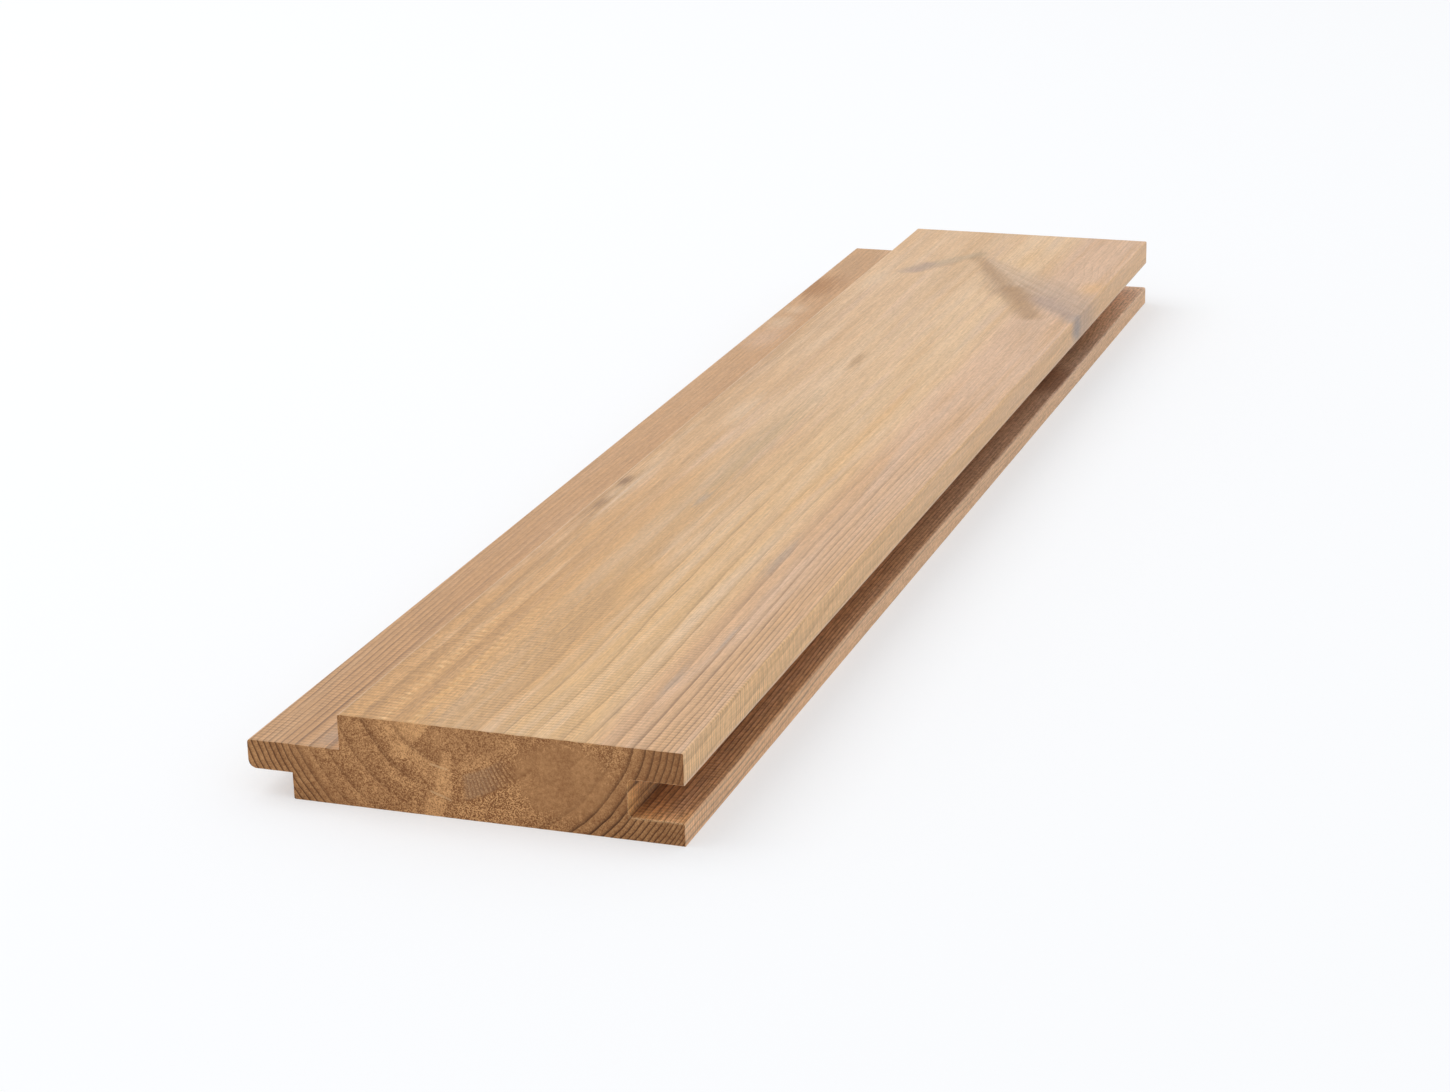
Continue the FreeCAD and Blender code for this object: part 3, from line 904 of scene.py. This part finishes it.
def flat_layout(mesh, loop, rings):
    """Surface map with the long sides unrolled as one sheet and the two ends beside it."""
    count = len(loop)
    steps = np.linalg.norm(np.roll(loop, -1, axis=0) - loop, axis=1)
    across = np.concatenate([[0.0], np.cumsum(steps)])
    points = []
    for i in range(len(rings) - 1):
        low = rings[i][:, 1] - LOW[1]
        high = rings[i + 1][:, 1] - LOW[1]
        for j in range(count):
            k = (j + 1) % count
            points += [(across[j], low[j]), (across[j + 1], low[k])]
            points += [(across[j + 1], high[k]), (across[j], high[j])]
    depth = (HIGH[2] - LOW[2]) * END_SCALE + LAYOUT_GAP
    for number, end in enumerate((rings[0][::-1], rings[-1])):
        left = across[-1] + LAYOUT_GAP + number * depth
        flip = 1 if number else -1
        points += [(left + (z - LOW[2]) * END_SCALE, (flip * x + HIGH[0]) * END_SCALE) for x, _, z in end]
    layer = mesh.uv_layers.new(name="OFBake")
    edge = LAYOUT_GAP / 2
    layer.data.foreach_set("uv", (np.array(points) + edge).ravel() / LAYOUT_SIZE)


def make_board():
    """The board as one closed mesh: long sides with smooth shading, and two flat sawn ends."""
    loop = refined(with_full_lip(cad_outline()))
    area = 0.5 * np.sum(loop[:, 0] * np.roll(loop[:, 1], -1) - np.roll(loop[:, 0], -1) * loop[:, 1])
    if area < 0:
        loop = loop[::-1]
    rings = section_rings(loop)
    count = len(loop)
    faces = []
    for i in range(len(rings) - 1):
        for j in range(count):
            k = (j + 1) % count
            faces.append((i * count + j, i * count + k, (i + 1) * count + k, (i + 1) * count + j))
    sides = len(faces)
    faces.append(tuple(range(count))[::-1])
    faces.append(tuple((len(rings) - 1) * count + j for j in range(count)))
    mesh = bpy.data.meshes.new("planed_board")
    mesh.from_pydata(np.concatenate(rings).tolist(), [], faces)
    flat_layout(mesh, loop, rings)
    mesh.materials.append(long_grain())
    mesh.materials.append(end_grain())
    for polygon in mesh.polygons:
        polygon.material_index = 0 if polygon.index < sides else 1
        polygon.use_smooth = polygon.index < sides
    mesh.validate()
    mesh.update()
    board = bpy.data.objects.new("planed_board", mesh)
    bpy.context.scene.collection.objects.link(board)
    return board


# Stage

def seen_directly(nodes, links):
    """1 where a ray comes from the camera, by itself or by way of a shiny or clear surface."""
    path = nodes.new("ShaderNodeLightPath")
    total = path.outputs["Is Camera Ray"]
    for name in ("Is Glossy Ray", "Is Transmission Ray"):
        either = nodes.new("ShaderNodeMath")
        either.operation = "MAXIMUM"
        links.new(total, either.inputs[0])
        links.new(path.outputs[name], either.inputs[1])
        total = either.outputs[0]
    return total


def make_floor():
    """Wide sheet of white paper that the board lies on."""
    half = FLOOR_SIZE / 2
    corners = [(-half, -half, 0), (half, -half, 0), (half, half, 0), (-half, half, 0)]
    mesh = bpy.data.meshes.new("floor")
    mesh.from_pydata(corners, [], [(0, 1, 2, 3)])
    floor = bpy.data.objects.new("floor", mesh)
    bpy.context.scene.collection.objects.link(floor)
    graph = Graph("floor_paper")
    paper = graph.node("ShaderNodeBsdfDiffuse")
    paper.inputs["Color"].default_value = FLOOR_COLOUR
    white = graph.node("ShaderNodeEmission")
    white.inputs["Color"].default_value = WHITE
    white.inputs["Strength"].default_value = 1.0
    lift = graph.node("ShaderNodeMixShader")
    graph.put(lift.inputs[0], graph.times(seen_directly(graph.tree.nodes, graph.tree.links), FLOOR_LIFT))
    graph.put(lift.inputs[1], paper.outputs[0])
    graph.put(lift.inputs[2], white.outputs[0])
    output = graph.node("ShaderNodeOutputMaterial")
    graph.put(output.inputs["Surface"], lift.outputs[0])
    mesh.materials.append(graph.material)


def make_light():
    """Even light from all round, white where it is seen itself, and a softbox high on the left."""
    world = bpy.data.worlds.new("studio")
    bpy.context.scene.world = world
    world.use_nodes = True
    nodes, links = world.node_tree.nodes, world.node_tree.links
    nodes.clear()
    lighting = nodes.new("ShaderNodeBackground")
    lighting.inputs["Color"].default_value = WHITE
    lighting.inputs["Strength"].default_value = SKY_STRENGTH
    seen = nodes.new("ShaderNodeBackground")
    seen.inputs["Color"].default_value = WHITE
    seen.inputs["Strength"].default_value = 1.0
    swap = nodes.new("ShaderNodeMixShader")
    output = nodes.new("ShaderNodeOutputWorld")
    links.new(seen_directly(nodes, links), swap.inputs[0])
    links.new(lighting.outputs[0], swap.inputs[1])
    links.new(seen.outputs[0], swap.inputs[2])
    links.new(swap.outputs[0], output.inputs["Surface"])

    lamp = bpy.data.lights.new("softbox", "AREA")
    lamp.shape = "SQUARE"
    lamp.size = SOFTBOX_SIZE
    lamp.energy = SOFTBOX_POWER
    softbox = bpy.data.objects.new("softbox", lamp)
    softbox.location = SOFTBOX_PLACE
    softbox.rotation_mode = "QUATERNION"
    softbox.rotation_quaternion = (-SOFTBOX_PLACE).to_track_quat("-Z", "Y")
    bpy.context.scene.collection.objects.link(softbox)


def make_camera():
    """Camera of the reference view."""
    lens = bpy.data.cameras.new("camera")
    lens.lens = CAMERA_LENS
    lens.sensor_fit = "HORIZONTAL"
    lens.sensor_width = SENSOR_WIDTH
    lens.clip_start = NEAREST_SEEN
    camera = bpy.data.objects.new("camera", lens)
    turn = (CAMERA_AIM - CAMERA_PLACE).to_track_quat("-Z", "Y").to_matrix().to_4x4()
    camera.matrix_world = Matrix.Translation(CAMERA_PLACE) @ turn @ Matrix.Rotation(CAMERA_ROLL, 4, "Z")
    bpy.context.scene.collection.objects.link(camera)
    bpy.context.scene.camera = camera


board = make_board()
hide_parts(NODE)
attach(board, "root")
make_floor()
make_light()
make_camera()
bpy.context.scene.view_settings.view_transform = "Standard"
